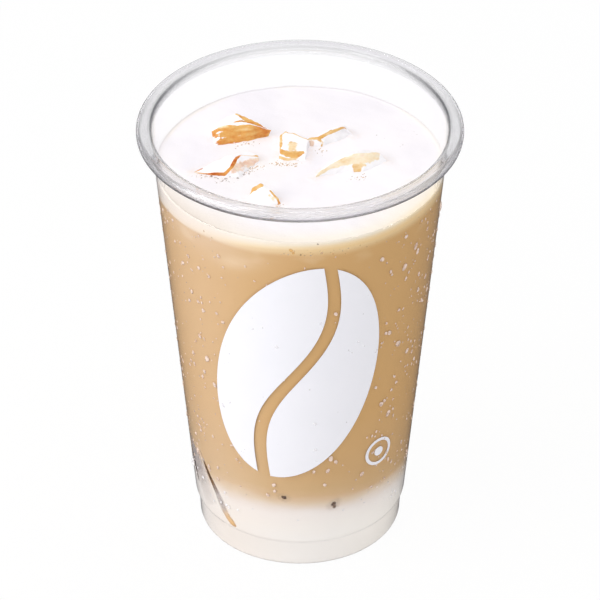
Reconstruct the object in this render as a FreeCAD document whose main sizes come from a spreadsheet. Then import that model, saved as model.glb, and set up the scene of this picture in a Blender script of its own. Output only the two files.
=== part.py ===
"""Iced latte in a clear plastic cup: a thin-walled tapered cup with a curled lip, filled with a
layer of milk, a layer of latte and a layer of foam, with six chunks of ice that poke through it.

Millimetres. The origin is the centre of the foot's resting plane and +Z runs up the cup's axis.
The outlines are turned about Z. Every piece takes its sizes from the sheet named Sizes.
"""

import FreeCAD, Part
import os

import Sketcher

PARTS_FOLDER = "parts"

SIZES = (
    ("cup_height", 142.7, "table to the top of the lip"),
    ("wall", 0.5, "sheet thickness, the same all over"),
    ("wall_top_radius", 44.9, "outside of the cone at the height of the lip's top"),
    ("shoulder_radius", 32.8, "outside of the cone at its lower end"),
    ("shoulder_height", 10.4, "lower end of the cone"),
    ("shoulder_round", 3.0, "stacking shoulder's outside rounding"),
    ("crease_radius", 31.8, "outside of the crease between foot and shoulder"),
    ("crease_height", 8.9, "height of that crease"),
    ("foot_radius", 31.3, "outside of the foot at the table"),
    ("foot_width", 3.0, "from the foot's outside to the start of its inner slope"),
    ("heel_round", 1.5, "outside rounding of the foot's lower edge"),
    ("floor_rise", 2.8, "height of the raised floor's underside"),
    ("floor_slope", 55.0, "degrees of the slope between foot and raised floor"),
    ("floor_round", 0.8, "rounding where the slope meets the floor"),
    ("lip_radius", 49.0, "outside of the curled lip"),
    ("lip_height", 3.5, "height of the curl"),
    ("lip_round", 1.6, "outside rounding of the curl"),
    ("curl_gap", 0.6, "slit between the curl's end and the cone"),
    ("milk_level", 27.0, "top of the milk"),
    ("latte_level", 125.0, "top of the latte"),
    ("foam_level", 128.5, "top of the foam"),
    ("ice_layout_radius", 43.1, "inside of the cup at the foam that the ice is laid out for"),
    ("ice_height", 20.0, "height of an ice chunk"),
    ("ice_round", 1.6, "rounding of the ice by melting"),
)

# Each chunk is a block that narrows upwards to a ridge. Place: the ridge's middle from the axis,
# and its rise above the foam. Turn: heading about Z, then nose down, then tilt to the front.
# Places and sizes across are for a cup of ice_layout_radius, and follow the cup's own radius.
ICE_FIELDS = (
    ("x", "ridge's middle to the right of the axis"),
    ("y", "ridge's middle behind the axis"),
    ("rise", "ridge above the foam"),
    ("heading", "degrees the ridge turns about Z"),
    ("nose", "degrees the ridge's right end dips"),
    ("tilt", "degrees the ridge tips to the front"),
    ("length", "length of the block's base, along the ridge"),
    ("depth", "depth of the block's base, across the ridge"),
    ("ridge_length", "length of the ridge"),
    ("ridge_depth", "depth of the ridge"),
    ("ridge_shift", "ridge's middle in front of the base's middle"),
)
ICE_CHUNKS = {
    "ice_back_left": (-18.5, 15.6, 5.2, 3, 4, 4, 22, 16, 15, 6.5, 2.5),
    "ice_middle": (-2.0, 8.6, 2.6, -7, 3, 6, 10, 15, 8, 10.5, 0.5),
    "ice_back_right": (10.7, 14.4, 3.0, 28, -5, 3, 13.5, 7, 12, 1.6, 0.5),
    "ice_right": (15.0, -1.6, 3.4, 27, -3, 5, 25, 12, 19, 2.2, 1.0),
    "ice_left": (-21.8, -3.6, 2.6, 24, -3, 6, 22, 12, 18, 1.6, 1.5),
    "ice_front": (-11.4, -17.4, 4.4, 8, 6, 0, 13, 12, 2.6, 2.0, -0.5),
}

doc = FreeCAD.newDocument("IcedLatte")
sheet = doc.addObject("Spreadsheet::Sheet", "Sizes")


def put_size(row, alias, value, meaning):
    """Writes one size as a row of the sheet: its name, its value with an alias, its meaning."""
    sheet.set(f"A{row}", alias)
    sheet.set(f"B{row}", str(value))
    sheet.set(f"C{row}", meaning)
    sheet.setAlias(f"B{row}", alias)


ice_sizes = [
    (f"{chunk}_{field}", value, meaning)
    for chunk, values in ICE_CHUNKS.items()
    for (field, meaning), value in zip(ICE_FIELDS, values)
]
for row, size in enumerate([*SIZES, *ice_sizes], start=1):
    put_size(row, *size)
doc.recompute()

# Heights and radii worked out from the sheet, as expressions that stay live in the document.
WALL_SLOPE = (
    "(Sizes.wall_top_radius - Sizes.shoulder_radius)"
    " / (Sizes.cup_height - Sizes.shoulder_height)"
)
WALL = "Sizes.wall"
INNER_TOP = "Sizes.cup_height - Sizes.wall"
CURL_BOTTOM = "Sizes.cup_height - Sizes.lip_height"
FLOOR_TOP = "Sizes.floor_rise + Sizes.wall"
FLOOR_RADIUS = "Sizes.foot_radius - Sizes.foot_width - Sizes.floor_rise / tan(Sizes.floor_slope)"
FOOT_INNER = "Sizes.foot_radius - Sizes.foot_width"
SLOPE_OFFSET = "Sizes.wall * tan(Sizes.floor_slope / 2)"
LIP_ROUND = "min(Sizes.lip_round; 0.46 * Sizes.lip_height)"


def cone_outside(height):
    """Outside radius of the cone at a height."""
    return f"Sizes.shoulder_radius + ({height} - Sizes.shoulder_height) * {WALL_SLOPE}"


def cone_inside(height):
    """Inside radius of the cone at a height."""
    return f"{cone_outside(height)} - {WALL}"


ICE_SCALE = f"({cone_inside('Sizes.foam_level')}) / Sizes.ice_layout_radius"


# Corners are (name, radius, height, rounding); the rounding is None at a sharp corner.
OUTSIDE = (
    ("floor_centre_below", None, "Sizes.floor_rise", None),
    ("floor_edge_below", FLOOR_RADIUS, "Sizes.floor_rise", "Sizes.floor_round + Sizes.wall"),
    ("foot_inner", FOOT_INNER, None, "Sizes.floor_round"),
    ("heel", "Sizes.foot_radius", None, "Sizes.heel_round"),
    ("crease", "Sizes.crease_radius", "Sizes.crease_height", None),
    ("shoulder", "Sizes.shoulder_radius", "Sizes.shoulder_height", "Sizes.shoulder_round"),
)
CURL = (
    ("neck", cone_outside(INNER_TOP), INNER_TOP, f"{LIP_ROUND} - {WALL}"),
    ("curl_roof", f"Sizes.lip_radius - {WALL}", INNER_TOP, f"{LIP_ROUND} - {WALL}"),
    ("curl_well", f"Sizes.lip_radius - {WALL}", f"{CURL_BOTTOM} + {WALL}", f"{LIP_ROUND} - {WALL}"),
    ("curl_end_top", f"{cone_outside(CURL_BOTTOM)} + Sizes.curl_gap", f"{CURL_BOTTOM} + {WALL}", None),
    ("curl_end", f"{cone_outside(CURL_BOTTOM)} + Sizes.curl_gap", CURL_BOTTOM, None),
    ("lip_below", "Sizes.lip_radius", CURL_BOTTOM, LIP_ROUND),
    ("lip_above", "Sizes.lip_radius", "Sizes.cup_height", LIP_ROUND),
    ("mouth", cone_inside("Sizes.cup_height"), "Sizes.cup_height", LIP_ROUND),
)
# The inside of the foot and shoulder, from the axis outwards; the milk takes the same corners.
INSIDE = (
    ("floor_centre", None, FLOOR_TOP, None),
    ("floor_edge", f"{FLOOR_RADIUS} + {SLOPE_OFFSET}", FLOOR_TOP, "Sizes.floor_round"),
    ("well_inner", f"{FOOT_INNER} + {SLOPE_OFFSET}", WALL, "Sizes.floor_round / 2"),
    ("well_outer", f"Sizes.foot_radius - {WALL}", WALL, f"Sizes.heel_round - {WALL}"),
    ("crease_inside", f"Sizes.crease_radius - {WALL}", "Sizes.crease_height", None),
    (
        "shoulder_inside",
        f"Sizes.shoulder_radius - {WALL}",
        "Sizes.shoulder_height",
        f"Sizes.shoulder_round - {WALL}",
    ),
)


def value(expression):
    """The present value of an expression, as a plain number."""
    return float(getattr(evaluated := sheet.evalExpression(expression), "Value", evaluated))


def tie(sketch, index, name, expression):
    """Names a constraint and binds it to an expression."""
    sketch.renameConstraint(index, name)
    sketch.setExpression(f"Constraints.{name}", expression)


def origin_plane(body, role):
    """One of a body's own origin planes."""
    return next(f for f in body.Origin.OriginFeatures if f.Role == role)


def draw_outline(sketch, corners):
    """A closed outline through the corners, with each corner's place tied to the sheet. A corner
    with no radius lies on the axis, and one with no height lies on the table."""
    axis, table, start, end = -2, -1, 1, 2
    places = [
        FreeCAD.Vector(value(radius) if radius else 0, value(height) if height else 0, 0)
        for _, radius, height, _ in corners
    ]
    count = len(corners)
    for i, place in enumerate(places):
        sketch.addGeometry(Part.LineSegment(place, places[(i + 1) % count]), False)
    for i in range(count):
        sketch.addConstraint(Sketcher.Constraint("Coincident", i, end, (i + 1) % count, start))
    for i, (name, radius, height, _) in enumerate(corners):
        if radius:
            k = sketch.addConstraint(
                Sketcher.Constraint("DistanceX", -1, 1, i, start, places[i].x)
            )
            tie(sketch, k, f"{name}_radius", radius)
        else:
            sketch.addConstraint(Sketcher.Constraint("PointOnObject", i, start, axis))
        if height:
            k = sketch.addConstraint(
                Sketcher.Constraint("DistanceY", -1, 1, i, start, places[i].y)
            )
            tie(sketch, k, f"{name}_height", height)
        else:
            sketch.addConstraint(Sketcher.Constraint("PointOnObject", i, start, table))
    for i, (name, _, _, rounding) in enumerate(corners):
        if rounding:
            round_corner(sketch, i, places, name, rounding)


def round_corner(sketch, i, places, name, rounding):
    """Rounds the corner that line i starts from, with a radius tied to the sheet."""
    corner = places[i]
    before = corner + (places[i - 1] - corner) * 0.1
    after = corner + (places[(i + 1) % len(places)] - corner) * 0.1
    arc = len(sketch.Geometry)
    last = (i - 1) % len(places)
    sketch.fillet(last, i, before, after, value(rounding), True, True)
    k = sketch.addConstraint(Sketcher.Constraint("Radius", arc, value(rounding)))
    tie(sketch, k, f"{name}_round", rounding)


def turned(name, corners):
    """A body made by turning an outline about Z."""
    body = doc.addObject("PartDesign::Body", name)
    sketch = body.newObject("Sketcher::SketchObject", f"{name}_outline")
    sketch.AttachmentSupport = (origin_plane(body, "XZ_Plane"), [""])
    sketch.MapMode = "FlatFace"
    draw_outline(sketch, corners)
    doc.recompute()
    turn = body.newObject("PartDesign::Revolution", f"{name}_turned")
    turn.Profile = sketch
    turn.ReferenceAxis = (sketch, ["V_Axis"])
    turn.Angle = 360
    sketch.Visibility = False
    doc.recompute()
    return body


def layer(name, bottom, top):
    """A layer of the drink between two heights, out to the cone's inside."""
    return turned(
        name,
        (
            ("bottom_centre", None, bottom, None),
            ("bottom_edge", cone_inside(bottom), bottom, None),
            ("top_edge", cone_inside(top), top, None),
            ("top_centre", None, top, None),
        ),
    )


def ice_chunk(name):
    """A block that narrows upwards to a ridge, rounded by melting. Its own Y runs up, its X along
    the ridge and its Z to the front, with the ridge's middle at its origin."""

    def size(field):
        return f"Sizes.{name}_{field}"

    def across(field):
        return f"Sizes.{name}_{field} * {ICE_SCALE}"

    body = doc.addObject("PartDesign::Body", name)
    block = body.newObject("PartDesign::AdditiveWedge", f"{name}_block")
    bounds = {
        "Xmin": f"-{across('length')} / 2",
        "Xmax": f"{across('length')} / 2",
        "Zmin": f"-{across('depth')} / 2 - {across('ridge_shift')}",
        "Zmax": f"{across('depth')} / 2 - {across('ridge_shift')}",
        "X2min": f"-{across('ridge_length')} / 2",
        "X2max": f"{across('ridge_length')} / 2",
        "Z2min": f"-{across('ridge_depth')} / 2",
        "Z2max": f"{across('ridge_depth')} / 2",
        "Ymin": "-Sizes.ice_height",
        "Ymax": "0",
    }
    for side, expression in bounds.items():
        setattr(block, side, value(expression))
        block.setExpression(side, expression)
    doc.recompute()
    melted = body.newObject("PartDesign::Fillet", f"{name}_melted")
    melted.Base = (block, [f"Edge{i + 1}" for i in range(len(block.Shape.Edges))])
    rounding = (
        f"min(Sizes.ice_round; 0.45 * {across('ridge_depth')}; 0.45 * {across('ridge_length')})"
    )
    melted.Radius = value(rounding)
    melted.setExpression("Radius", rounding)
    body.setExpression(
        "Placement",
        "create(<<placement>>;"
        f" create(<<vector>>; {across('x')}; {across('y')}; Sizes.foam_level + {size('rise')});"
        f" create(<<rotation>>; {size('heading')}; {size('nose')}; 90 + {size('tilt')}))",
    )
    doc.recompute()
    return body


def cut_round_ice(name, whole, ice):
    """A layer of the drink less the ice that stands in it."""
    cut = doc.addObject("Part::Cut", name)
    cut.Base = whole
    cut.Tool = ice
    return cut


cup = turned(
    "cup",
    (*OUTSIDE, *CURL, *reversed(INSIDE)),
)
milk = turned(
    "milk_layer",
    (
        *INSIDE,
        ("milk_edge", cone_inside("Sizes.milk_level"), "Sizes.milk_level", None),
        ("milk_centre", None, "Sizes.milk_level", None),
    ),
)
chunks = [ice_chunk(name) for name in ICE_CHUNKS]
all_ice = doc.addObject("Part::MultiFuse", "all_ice")
all_ice.Shapes = chunks
whole_latte = layer("whole_latte", "Sizes.milk_level", "Sizes.latte_level")
whole_foam = layer("whole_foam", "Sizes.latte_level", "Sizes.foam_level")
latte = cut_round_ice("latte_layer", whole_latte, all_ice)
foam = cut_round_ice("foam_layer", whole_foam, all_ice)
doc.recompute()

pieces = [cup, milk, latte, foam, *chunks]
for item in doc.Objects:
    failed = {"Invalid", "Error"} & set(item.State)
    if failed:
        raise RuntimeError(f"{item.Name} did not build: {failed}")
for piece in pieces:
    piece.Label = piece.Name
    shape = piece.Shape
    if shape.isNull() or not shape.isValid() or len(shape.Solids) != 1:
        raise RuntimeError(f"{piece.Name} is not one valid solid")

os.makedirs(PARTS_FOLDER, exist_ok=True)
for piece in pieces:
    piece.Shape.exportStep(os.path.join(PARTS_FOLDER, f"{piece.Label}.step"))
    print(piece.Label, round(piece.Shape.Volume), "mm3")
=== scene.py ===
"""Iced latte in a clear plastic cup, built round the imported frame.

Metres, +Z up the cup's axis, the camera on the -Y side. Outlines are given in millimetres.
"""

import math

import bpy
import numpy as np
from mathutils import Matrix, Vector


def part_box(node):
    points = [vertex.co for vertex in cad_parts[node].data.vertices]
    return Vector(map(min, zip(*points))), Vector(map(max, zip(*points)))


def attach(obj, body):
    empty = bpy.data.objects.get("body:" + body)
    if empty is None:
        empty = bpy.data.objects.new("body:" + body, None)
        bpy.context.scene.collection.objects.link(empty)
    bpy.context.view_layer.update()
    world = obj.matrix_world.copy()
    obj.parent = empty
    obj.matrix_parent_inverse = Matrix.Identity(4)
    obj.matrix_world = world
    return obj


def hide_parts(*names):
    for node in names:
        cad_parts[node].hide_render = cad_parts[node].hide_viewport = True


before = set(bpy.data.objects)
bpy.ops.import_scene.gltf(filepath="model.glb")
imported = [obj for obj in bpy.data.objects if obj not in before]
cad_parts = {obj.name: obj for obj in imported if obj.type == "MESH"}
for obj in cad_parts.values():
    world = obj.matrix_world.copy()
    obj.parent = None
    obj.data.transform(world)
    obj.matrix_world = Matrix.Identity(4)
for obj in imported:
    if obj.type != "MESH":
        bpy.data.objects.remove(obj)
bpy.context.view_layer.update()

MM = 0.001
BODY = "root"

# Sizes from the frame.
CUP_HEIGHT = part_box("cup")[1][2] / MM
LIP_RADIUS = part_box("cup")[1][0] / MM
MILK_LEVEL, MILK_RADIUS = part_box("milk_layer")[1][2] / MM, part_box("milk_layer")[1][0] / MM
LATTE_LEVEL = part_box("latte_layer")[1][2] / MM
FOAM_LEVEL, FOAM_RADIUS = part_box("foam_layer")[1][2] / MM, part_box("foam_layer")[1][0] / MM
CONE_SLOPE = (FOAM_RADIUS - MILK_RADIUS) / (FOAM_LEVEL - MILK_LEVEL)

# Sizes of the cup's sheet and foot, millimetres.
WALL = 0.5
SHOULDER_HEIGHT, SHOULDER_ROUND = 10.4, 3.0
CREASE_RADIUS, CREASE_HEIGHT = 31.8, 8.9
FOOT_RADIUS, FOOT_WIDTH, HEEL_ROUND = 31.3, 3.0, 1.5
FLOOR_RISE, FLOOR_SLOPE, FLOOR_ROUND = 2.8, math.radians(55), 0.8
LIP_HEIGHT, LIP_ROUND, CURL_GAP = 3.5, 1.6, 0.6
WALL_BITE = 0.12  # how far the drink reaches into the wall, so that no air gap shows
SEGMENTS = 288


def inside_radius(height):
    """Radius of the cone's inside: a straight line through its radii at the milk and the foam."""
    return MILK_RADIUS + (height - MILK_LEVEL) * CONE_SLOPE


def outside_radius(height):
    """Radius of the cone's outside: the inside plus the wall."""
    return inside_radius(height) + WALL


def drink_radius(height):
    """Radius of the drink in the cone, a little way into the wall."""
    return inside_radius(height) + WALL_BITE


# ---------------------------------------------------------------- mesh helpers


def new_piece(name, points, faces, material, smooth_angle=40, slot=None, replaces=()):
    """A mesh object from points in millimetres, smooth-shaded but for edges over an angle."""
    mesh = bpy.data.meshes.new(name)
    mesh.from_pydata((np.asarray(points) * MM).tolist(), [], [list(map(int, f)) for f in faces])
    mesh.validate()
    mesh.shade_smooth()
    mesh.set_sharp_from_angle(angle=math.radians(smooth_angle))
    mesh.materials.append(material)
    piece = bpy.data.objects.new(name, mesh)
    bpy.context.collection.objects.link(piece)
    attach(piece, BODY)
    if replaces:
        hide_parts(*replaces)
    return piece


def set_attributes(piece, **values):
    """Stores, under each name, one number for each point of a piece."""
    for name, numbers in values.items():
        layer = piece.data.attributes.new(name, "FLOAT", "POINT")
        layer.data.foreach_set("value", np.asarray(numbers, dtype=np.float32).ravel())


def grid_faces(rows, columns, wrap_rows=False, wrap_columns=False, start=0):
    """Quads of a grid of rows x columns points, numbered row by row from start."""
    r = np.arange(rows if wrap_rows else rows - 1)[:, None]
    c = np.arange(columns if wrap_columns else columns - 1)[None, :]
    r2, c2 = (r + 1) % rows, (c + 1) % columns
    quads = np.stack([r * columns + c, r * columns + c2, r2 * columns + c2, r2 * columns + c], -1)
    return (quads.reshape(-1, 4) + start).tolist()


def capped_faces(rows, columns):
    """Faces of closed rings of points, and fans to a pole before them and one after them, which
    are the last two points of the list."""
    k = np.arange(columns)
    k2 = (k + 1) % columns
    first, last, end = rows * columns, rows * columns + 1, (rows - 1) * columns
    faces = grid_faces(rows, columns, wrap_columns=True)
    faces += np.stack([np.full(columns, first), k2, k], -1).tolist()
    return faces + np.stack([np.full(columns, last), end + k, end + k2], -1).tolist()


def sheet_faces(rows, columns, wrap=False):
    """Faces of a front grid of points and a back grid listed after it, joined round their edges.
    wrap closes the rows to a ring."""
    size = rows * columns
    index = np.arange(size).reshape(rows, columns)
    faces = grid_faces(rows, columns, wrap_rows=wrap)
    faces += [f[::-1] for f in grid_faces(rows, columns, wrap_rows=wrap, start=size)]
    if wrap:
        loops = [np.append(index[:, 0], index[0, 0])[::-1], np.append(index[:, -1], index[0, -1])]
    else:
        sides = [index[0, :-1], index[:-1, -1], index[-1, :0:-1], index[::-1, 0]]
        loops = [np.concatenate(sides)]
    for edge in loops:
        a, b = edge[:-1], edge[1:]
        faces += np.stack([b, a, a + size, b + size], -1).tolist()
    return faces


def round_axis(radius, angle, height):
    """Places round the axis: x = radius cos(angle), y = radius sin(angle), z = height."""
    x, y = radius * np.cos(angle), radius * np.sin(angle)
    return np.stack(np.broadcast_arrays(x, y, height), -1)


def rounded(corners, steps=7):
    """An outline of (radius, height) points. Each corner (radius, height, rounding) becomes an
    arc that is tangent to its two sides; its centre lies rounding / cos(half the turn) away."""
    places = np.array([c[:2] for c in corners], dtype=float)
    outline = []
    for i, (_, _, rounding) in enumerate(corners):
        here = places[i]
        if not rounding or i in (0, len(corners) - 1):
            outline.append(here[None])
            continue
        to_last, to_next = places[i - 1] - here, places[i + 1] - here
        to_last, to_next = to_last / np.hypot(*to_last), to_next / np.hypot(*to_next)
        half = math.acos(np.clip(to_last @ to_next, -1, 1)) / 2
        middle = (to_last + to_next) / np.hypot(*(to_last + to_next))
        centre = here + middle * rounding / math.sin(half)
        first = here + to_last * rounding / math.tan(half) - centre
        last = here + to_next * rounding / math.tan(half) - centre
        a0, a1 = math.atan2(first[1], first[0]), math.atan2(last[1], last[0])
        turn = (a1 - a0 + math.pi) % (2 * math.pi) - math.pi
        a = a0 + turn * np.linspace(0, 1, steps)
        outline.append(centre + rounding * np.stack([np.cos(a), np.sin(a)], -1))
    return np.concatenate(outline)


def full_turn(count):
    """Angles spaced evenly round a full turn."""
    return np.linspace(0, 2 * math.pi, count, endpoint=False)


def turned(outline):
    """Points and faces of an outline turned about Z. It starts and ends on the axis, and runs so
    that the solid lies on its left: x = radius cos(a), y = radius sin(a)."""
    ring = outline[1:-1]
    points = round_axis(ring[:, 0, None], full_turn(SEGMENTS), ring[:, 1, None]).reshape(-1, 3)
    points = np.vstack([points, [0, 0, outline[0, 1]], [0, 0, outline[-1, 1]]])
    return points, capped_faces(len(ring), SEGMENTS)


def waves(points, scale, seed, count=12):
    """Smooth noise of about -1 to 1: the sum of sine waves in seeded random directions, with
    wavelengths near scale, divided by the square root of twice their number."""
    random = np.random.default_rng(seed)
    directions = random.normal(size=(count, points.shape[-1]))
    directions /= np.linalg.norm(directions, axis=1)[:, None]
    lengths = scale * random.uniform(0.6, 1.6, count)
    phases = random.uniform(0, 2 * math.pi, count)
    angle = points @ (directions / lengths[:, None]).T * 2 * math.pi + phases
    return np.sin(angle).sum(-1) / math.sqrt(2 * count)


def turn_from_front(points):
    """Degrees round the axis from the front, -180 to 180, growing to the right."""
    return np.degrees(np.arctan2(points[:, 0], -points[:, 1]))


def hump(turn, middle, width):
    """exp(-(degrees from the middle / width) squared), the short way round."""
    away = (turn - middle + 180) % 360 - 180
    return np.exp(-((away / width) ** 2))


def humps(turn, rows):
    """The sum of humps given as rows of (height, middle, width)."""
    return sum(height * hump(turn, middle, width) for height, middle, width in rows)


def bell(given, middle, width):
    """exp(-(distance from the middle / width) squared)."""
    return np.exp(-(((given - middle) / width) ** 2))


# ---------------------------------------------------------------- materials


class Tree:
    """Short calls for building one node tree."""

    def __init__(self, tree):
        self.tree = tree

    def add(self, kind, values=None, **settings):
        """A node with its settings; values go by socket name or number, and may be links."""
        n = self.tree.nodes.new(kind)
        for key, setting in settings.items():
            setattr(n, key, setting)
        for key, given in (values or {}).items():
            if isinstance(given, bpy.types.NodeSocket):
                self.tree.links.new(given, n.inputs[key])
            else:
                n.inputs[key].default_value = given
        return n

    def place(self):
        """Object coordinates."""
        return self.add("ShaderNodeTexCoord").outputs["Object"]

    def attribute(self, name):
        """One number of the piece's points."""
        return self.add("ShaderNodeAttribute", attribute_name=name).outputs["Fac"]

    def calculate(self, operation, a, b):
        return self.add("ShaderNodeMath", {0: a, 1: b}, operation=operation).outputs[0]

    def sum(self, a, b):
        return self.calculate("ADD", a, b)

    def product(self, a, b):
        return self.calculate("MULTIPLY", a, b)

    def larger(self, a, b):
        return self.calculate("MAXIMUM", a, b)

    def span(self, given, low, high, to_low=0.0, to_high=1.0):
        """Smooth step of a value from one span to another."""
        n = self.add(
            "ShaderNodeMapRange",
            {"Value": given, "From Min": low, "From Max": high, "To Min": to_low, "To Max": to_high},
            interpolation_type="SMOOTHSTEP",
        )
        return n.outputs["Result"]

    def blend(self, share, a, b):
        """A value that goes from a to b as share goes from 0 to 1."""
        return self.add("ShaderNodeMix", {0: share, 2: a, 3: b}, data_type="FLOAT").outputs[0]

    def mix(self, share, a, b):
        """A colour that goes from a to b as share goes from 0 to 1."""
        return self.add("ShaderNodeMix", {0: share, 6: a, 7: b}, data_type="RGBA").outputs[2]

    def mix_shaders(self, share, a, b):
        values = {0: share, 1: a.outputs[0], 2: b.outputs[0]}
        return self.add("ShaderNodeMixShader", values).outputs[0]

    def noise(self, vector, scale, detail=2.0, roughness=0.5):
        n = self.add(
            "ShaderNodeTexNoise",
            {"Vector": vector, "Scale": scale, "Detail": detail, "Roughness": roughness},
        )
        return n.outputs["Fac"]

    def sway(self, noise, reach):
        """Noise moved to lie about nothing, times its reach."""
        return self.product(self.sum(noise, -0.5), reach)

    def stretched(self, vector, scale):
        """Places stretched along the axes, for patterns drawn out one way."""
        return self.add("ShaderNodeMapping", {"Vector": vector, "Scale": scale}).outputs[0]

    def ramp(self, share, stops):
        """A colour ramp through (position, colour) stops."""
        n = self.add("ShaderNodeValToRGB", {"Fac": share})
        ramp = n.color_ramp
        while len(ramp.elements) < len(stops):
            ramp.elements.new(0.5)
        for element, (position, colour) in zip(ramp.elements, stops):
            element.position = position
            element.color = colour
        return n.outputs["Color"]

    def bump(self, height, strength, distance):
        values = {"Height": height, "Strength": strength, "Distance": distance}
        return self.add("ShaderNodeBump", values).outputs["Normal"]

    def principled(self, values):
        return self.add("ShaderNodeBsdfPrincipled", values)

    def surface(self, shader):
        """Puts a shader on the material's surface."""
        self.add("ShaderNodeOutputMaterial", {"Surface": shader})


def rgb(red, green, blue):
    """A colour written as display values of 0 to 255, as linear light with full alpha."""
    shown = np.array([red, green, blue]) / 255
    linear = np.where(shown <= 0.04045, shown / 12.92, ((shown + 0.055) / 1.055) ** 2.4)
    return (*map(float, linear), 1.0)


def new_material(name):
    """A material and its emptied tree."""
    material = bpy.data.materials.new(name)
    material.use_nodes = True
    material.node_tree.nodes.clear()
    return material, Tree(material.node_tree)


def finished(name, look, *given):
    """A material of one principled shader, with the values that a look works out in its tree."""
    material, t = new_material(name)
    t.surface(t.principled(look(t, *given)).outputs[0])
    return material


# Tints of the sheet from face-on to edge-on, as linear light, darker edge-on as painted shade,
# and the painted shade of its dark edges.
PLASTIC_TINT_AND_EDGE_SHADE = (
    (0.5, (0.99, 0.985, 1.0, 1)), (0.78, (0.955, 0.95, 0.975, 1)),
    (0.9, (0.82, 0.815, 0.845, 1)), (0.98, (0.42, 0.415, 0.44, 1)),
)
PAINTED_EDGE_SHADE = (0.08, 0.08, 0.09, 1)


def clear_plastic():
    """Thin clear sheet, drawn a little unevenly, with painted shade that darkens it edge-on; its
    points' edge paints dark lines on the lip, and their open lets light straight through, as lamps and
    scattered light always go."""
    material, t = new_material("clear_plastic")
    draw = t.noise(t.place(), 60.0, detail=1.0)
    edge_on = t.add("ShaderNodeLayerWeight", {"Blend": 0.5}).outputs["Facing"]
    # Painted shade: darker edge-on, and the lip's painted dark lines where its points' edge is high.
    tint_and_shade = t.mix(t.attribute("edge"), t.ramp(edge_on, PLASTIC_TINT_AND_EDGE_SHADE), PAINTED_EDGE_SHADE)
    shine = t.principled({
        "Base Color": tint_and_shade,
        "Transmission Weight": 1.0,
        "IOR": 1.5,
        "Roughness": 0.0,
        "Normal": t.bump(draw, 0.02, 0.0004),
    })
    path = t.add("ShaderNodeLightPath")
    straight = t.larger(path.outputs["Is Shadow Ray"], path.outputs["Is Diffuse Ray"])
    straight = t.larger(straight, t.attribute("open"))
    t.surface(t.mix_shaders(straight, shine, t.add("ShaderNodeBsdfTransparent")))
    return material


# Colours of the drink. Up the milk's border: millimetres above it, and colour.
MILK_BORDER_COLOURS = (
    (-14.0, (242, 239, 236)), (-9.0, (241, 236, 231)), (-5.0, (238, 231, 226)),
    (-3.2, (232, 222, 215)), (-1.5, (225, 209, 194)), (0.2, (219, 198, 173)),
    (1.8, (214, 187, 156)), (3.5, (209, 177, 138)), (6.0, (205, 171, 127)),
    (12.0, (204, 167, 120)), (34.0, (206, 165, 112)),
)
# Up the foam's border and on over the foam's top: millimetres from it, and colour, where the
# border is soft and where it is sharp.
FOAM_BORDER_COLOURS = (
    (0.0, (229, 200, 154)), (0.8, (238, 216, 177)), (1.8, (243, 229, 205)), (3.0, (246, 237, 225)),
    (4.5, (246, 239, 232)), (6.0, (246, 240, 238)), (8.0, (246, 242, 245)),
)
SHARP_BORDER_COLOURS = (
    (0.0, (235, 218, 196)), (1.2, (240, 228, 214)), (3.0, (241, 232, 223)), (6.0, (242, 235, 229)),
    (9.0, (245, 241, 241)),
)


def ramp_between(t, given, stops):
    """A colour ramp over (value, display colour) stops, from the first value to the last."""
    low, high = stops[0][0], stops[-1][0]
    share = t.product(t.sum(given, -low), 1 / (high - low))
    return t.ramp(share, [((v - low) / (high - low), rgb(*c)) for v, c in stops])


def drink_colour_group():
    """Node group: the drink's colour from its distances to the borders of its layers, which are
    attributes of its pieces, with wisps and clouds where the layers mix, painted light where light
    comes through the milk, and painted sheen and shade on the left."""
    group = bpy.data.node_groups.new("drink_colour", "ShaderNodeTree")
    group.interface.new_socket("Wisps", in_out="INPUT", socket_type="NodeSocketFloat")
    group.interface.new_socket("Colour", in_out="OUTPUT", socket_type="NodeSocketColor")
    t = Tree(group)
    wisps = t.add("NodeGroupInput").outputs["Wisps"]
    flat = t.stretched(t.place(), (1.0, 1.0, 2.6))
    cloud = t.noise(flat, 45.0, 3.0)
    over_milk = t.attribute("over_milk")
    base = ramp_between(t, t.sum(over_milk, t.sway(cloud, 7.0)), MILK_BORDER_COLOURS)
    over_foam = t.attribute("over_foam")
    streak = t.span(t.noise(flat, 70.0, 2.0, 0.4), 0.52, 0.7)
    near_foam = t.product(t.span(over_foam, -9.0, -3.0), 0.3)
    pale = t.product(t.sum(t.product(streak, near_foam), t.attribute("wisp")), wisps)
    base = t.mix(pale, base, rgb(230, 203, 166))
    uneven = t.sum(over_foam, t.sway(cloud, 1.6))
    softness = t.attribute("border_softness")
    share = t.calculate("DIVIDE", uneven, softness)
    sharp = ramp_between(t, over_foam, SHARP_BORDER_COLOURS)
    soft = ramp_between(t, over_foam, FOAM_BORDER_COLOURS)
    cream = t.mix(t.span(softness, 0.4, 0.75), sharp, soft)
    layers = t.mix(t.span(share, -3.0, 0.0), base, cream)
    band = t.product(t.span(over_foam, -1.4, 0.2), t.span(over_foam, 0.8, 2.6, 1.0, 0.0))
    golden = t.product(t.product(band, t.span(softness, 0.8, 1.15)), 0.45)
    layers = t.mix(golden, layers, rgb(238, 204, 148))
    # Painted light: paler low on the right, where light comes through the milk.
    layers = t.mix(t.attribute("lit_through"), layers, rgb(255, 250, 243))
    # Painted sheen and shade on the left: paler latte as painted sheen, darker milk and foam as
    # painted shade.
    layers = t.mix(t.attribute("haze"), layers, rgb(229, 214, 200))
    t.add("NodeGroupOutput", {"Colour": layers})
    return group


def layer_colour(t, wisps):
    """The drink's colour from its node group, as one material's tree uses it."""
    return t.add("ShaderNodeGroup", {"Wisps": wisps}, node_tree=DRINK_COLOUR).outputs[0]


def drink(t, wisps):
    """Opaque liquid in the colour of its layers."""
    return {
        "Base Color": layer_colour(t, wisps),
        "Roughness": 0.6,
        "Specular IOR Level": 0.0,
    }


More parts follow.
